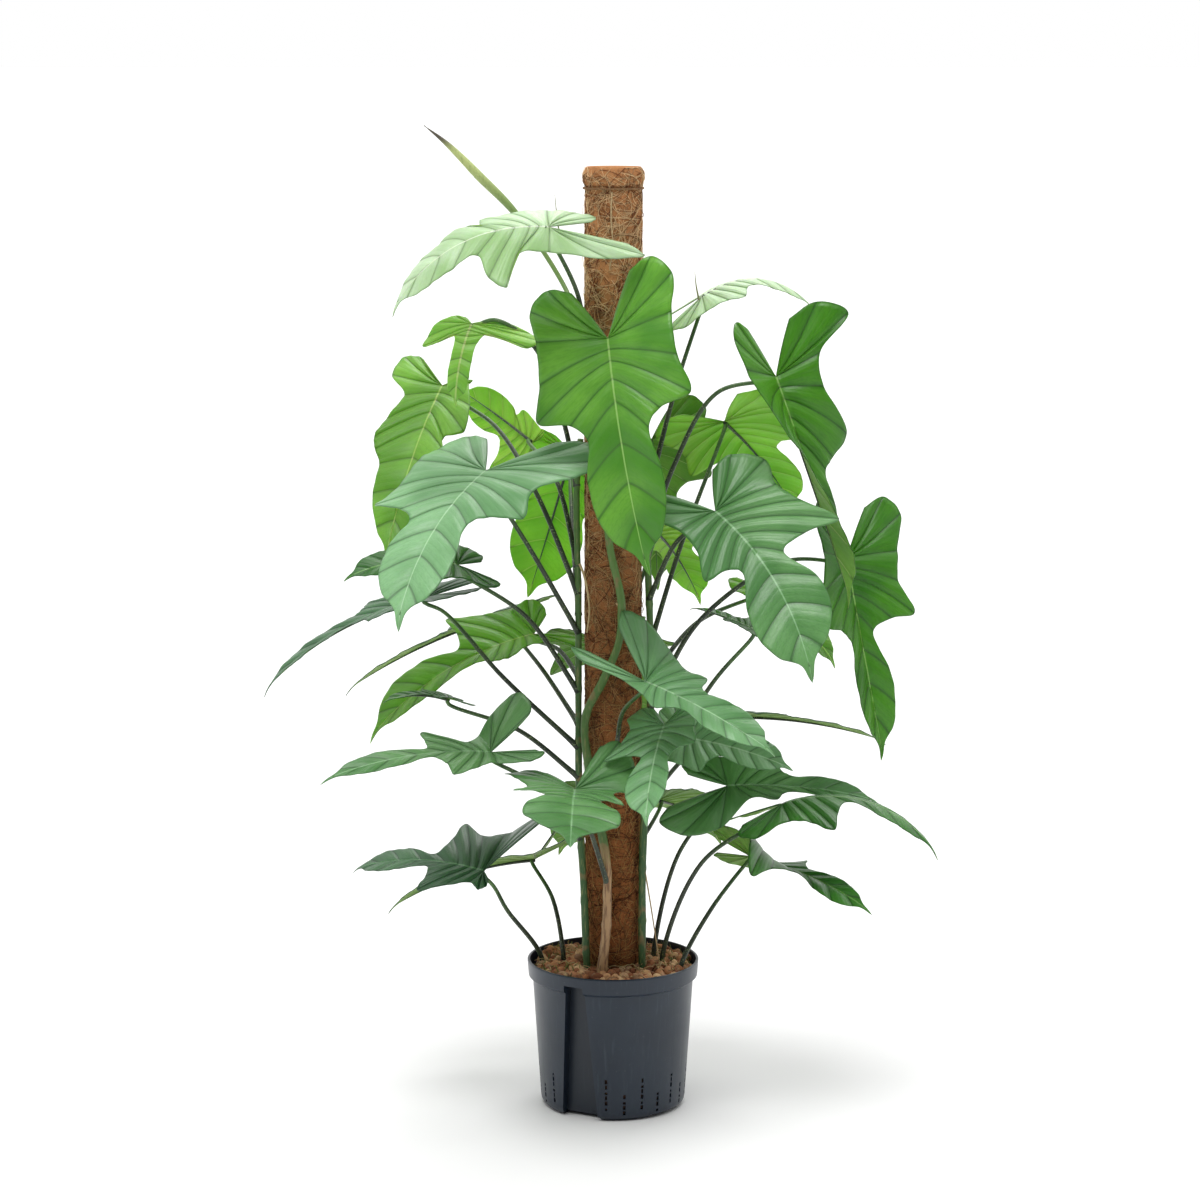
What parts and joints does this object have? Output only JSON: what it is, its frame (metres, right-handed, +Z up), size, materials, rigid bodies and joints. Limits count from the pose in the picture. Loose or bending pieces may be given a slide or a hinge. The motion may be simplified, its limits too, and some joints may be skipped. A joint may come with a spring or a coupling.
{
  "type": "potted fiddle-leaf philodendron",
  "caption": "Tall climbing house plant with lobed green leaves on long stalks, on a coir pole in a slate plastic water-culture pot with clay granules.",
  "frame": {"origin": "centre of the pot's underside, on the flat pad that rests on the floor", "axes": "+Z up along the pole; -Y towards the front of the plant as pictured; +X to the right"},
  "size_m": [0.8488, 0.5607, 1.2494],
  "materials": {
    "pot_plastic": "satin slate blue-grey plastic",
    "clay_granules": "matte fired clay, reddish brown",
    "coir": "matte felted coconut fibre",
    "pipe_plastic": "matte grey plastic",
    "cord": "twisted sisal",
    "stem": "smooth green bark",
    "leaf": "satin waxy leaf",
    "new_leaf": "satin pale leaf, still rolled"
  },
  "bodies": {
    "root": {"pot": "pot_plastic", "substrate": "clay_granules", "pole_coir": "coir", "pole_pipe": "pipe_plastic", "pole_tie": "cord", "stem_left": "stem", "stem_front": "stem", "stem_right": "stem", "stem_back": "stem", "new_leaf": "new_leaf", "leaf_01": "leaf", "leaf_02": "leaf", "leaf_03": "leaf", "leaf_04": "leaf", "leaf_05": "leaf", "leaf_06": "leaf", "leaf_07": "leaf", "leaf_08": "leaf", "leaf_09": "leaf", "leaf_10": "leaf", "leaf_11": "leaf", "leaf_12": "leaf", "leaf_13": "leaf", "leaf_14": "leaf", "leaf_15": "leaf", "leaf_16": "leaf", "leaf_17": "leaf", "leaf_18": "leaf", "leaf_19": "leaf", "leaf_20": "leaf", "leaf_21": "leaf", "leaf_22": "leaf", "leaf_23": "leaf", "leaf_24": "leaf", "leaf_25": "leaf", "leaf_26": "leaf", "leaf_27": "leaf", "leaf_28": "leaf", "leaf_29": "leaf", "leaf_30": "leaf", "leaf_31": "leaf", "leaf_32": "leaf", "leaf_33": "leaf", "leaf_34": "leaf", "leaf_35": "leaf"}
  },
  "joints": []
}
